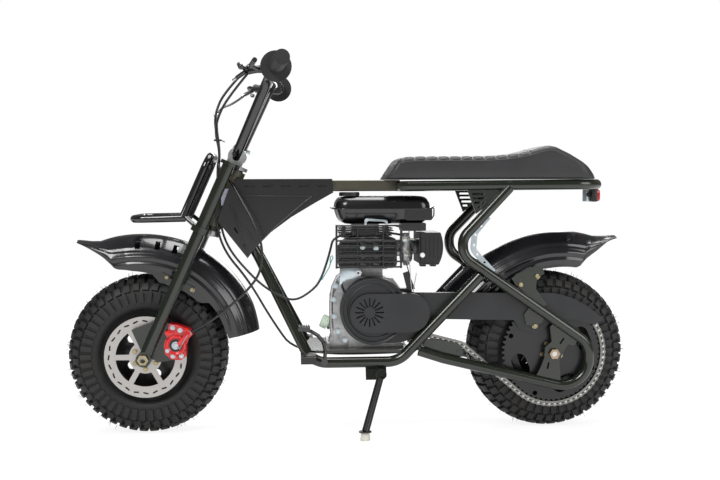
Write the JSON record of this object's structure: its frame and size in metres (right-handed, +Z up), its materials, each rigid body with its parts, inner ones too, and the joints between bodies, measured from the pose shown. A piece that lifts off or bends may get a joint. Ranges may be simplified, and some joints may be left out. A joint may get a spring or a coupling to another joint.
{
  "type": "mini dirt bike",
  "caption": "Small petrol dirt bike with knobby tyres, a rigid tube frame, a pull-start engine, chain drive, a front rack, disc brakes and a folding side stand.",
  "frame": {"origin": "on the floor under the middle of the bike's bounding box, leaned on its stand", "axes": "+X along the bike to its rear wheel, +Y to its right-hand side, +Z up"},
  "size_m": [1.261, 0.7304, 0.8434],
  "materials": {
    "frame_green": "gloss",
    "top_tube_olive": "gloss",
    "black_gloss": "gloss",
    "black_satin": "satin",
    "engine_silver": "cast satin",
    "engine_black": "gloss",
    "guard_charcoal": "matte",
    "black_plastic": "satin",
    "fender_black": "gloss",
    "zinc": "zinc plated",
    "steel": "satin",
    "chain_steel": "satin",
    "disc_steel": "ground",
    "brass_nut": "plated",
    "tyre_rubber": "matte",
    "grip_rubber": "matte",
    "pale_rubber": "matte",
    "seat_vinyl": "vinyl, pleated",
    "caliper_red": "gloss",
    "lens_red": "gloss",
    "cap_green": "satin",
    "cable_black": "satin"
  },
  "bodies": {
    "frame": {"air_box": "black_plastic", "carburettor": "engine_silver", "chain": "chain_steel", "chain_guard": "guard_charcoal", "control_cables": "cable_black", "cradle_left": "frame_green", "cradle_right": "frame_green", "crankcase": "engine_silver", "cylinder": "engine_silver", "drive_sprocket": "steel", "engine_plate": "frame_green", "foot_pegs": "black_satin", "fuel_cap": "black_plastic", "fuel_tank": "engine_black", "governor": "black_satin", "head_tube": "top_tube_olive", "loop_left": "frame_green", "loop_right": "frame_green", "muffler": "engine_black", "muffler_guard": "engine_black", "neck_cover": "black_satin", "oil_filler": "cap_green", "rear_axle": "steel", "rear_caliper": "caliper_red", "rear_fender": "fender_black", "rear_nuts": "brass_nut", "recoil_starter": "engine_black", "seat": "seat_vinyl", "seat_rails": "frame_green", "stand_bracket": "frame_green", "tail_light": "lens_red", "tensioner": "frame_green", "zinc_strip": "zinc"},
    "steering": {"fork_legs": "frame_green", "fork_clamps": "frame_green", "handlebar": "black_gloss", "bar_clamps": "steel", "grips": "grip_rubber", "controls": "black_plastic", "front_rack": "black_gloss", "front_fender": "fender_black", "front_caliper": "caliper_red", "front_axle": "steel", "front_nuts": "brass_nut", "front_brake_cable": "cable_black"},
    "front_wheel": {"front_tyre": "tyre_rubber", "front_rim": "black_satin", "front_disc": "disc_steel"},
    "rear_wheel": {"rear_tyre": "tyre_rubber", "rear_rim": "black_satin", "rear_sprocket": "black_satin", "rear_disc": "disc_steel"},
    "side_stand": {"stand_leg": "black_satin", "stand_foot": "pale_rubber"}
  },
  "joints": [
    {"name": "steering_turn", "type": "hinge", "parent": "frame", "child": "steering", "pos_m": [-0.28017, 0.01901, 0.52717], "axis": [0.4067, -0.0637, 0.9113], "range_deg": [-30, 30], "deforming": ["control_cables"]},
    {"name": "front_wheel_spin", "type": "hinge", "parent": "steering", "child": "front_wheel", "pos_m": [-0.4525, 0.04344, 0.17784], "axis": [0, 0.9976, 0.0698], "continuous": true},
    {"name": "rear_wheel_spin", "type": "hinge", "parent": "frame", "child": "rear_wheel", "pos_m": [0.4525, 0.04344, 0.17784], "axis": [0, 0.9976, 0.0698], "continuous": true},
    {"name": "side_stand_fold", "type": "hinge", "parent": "frame", "child": "side_stand", "pos_m": [0.065, -0.0655, 0.13012], "axis": [0, -0.9336, 0.3584], "range_deg": [0, 100]}
  ]
}
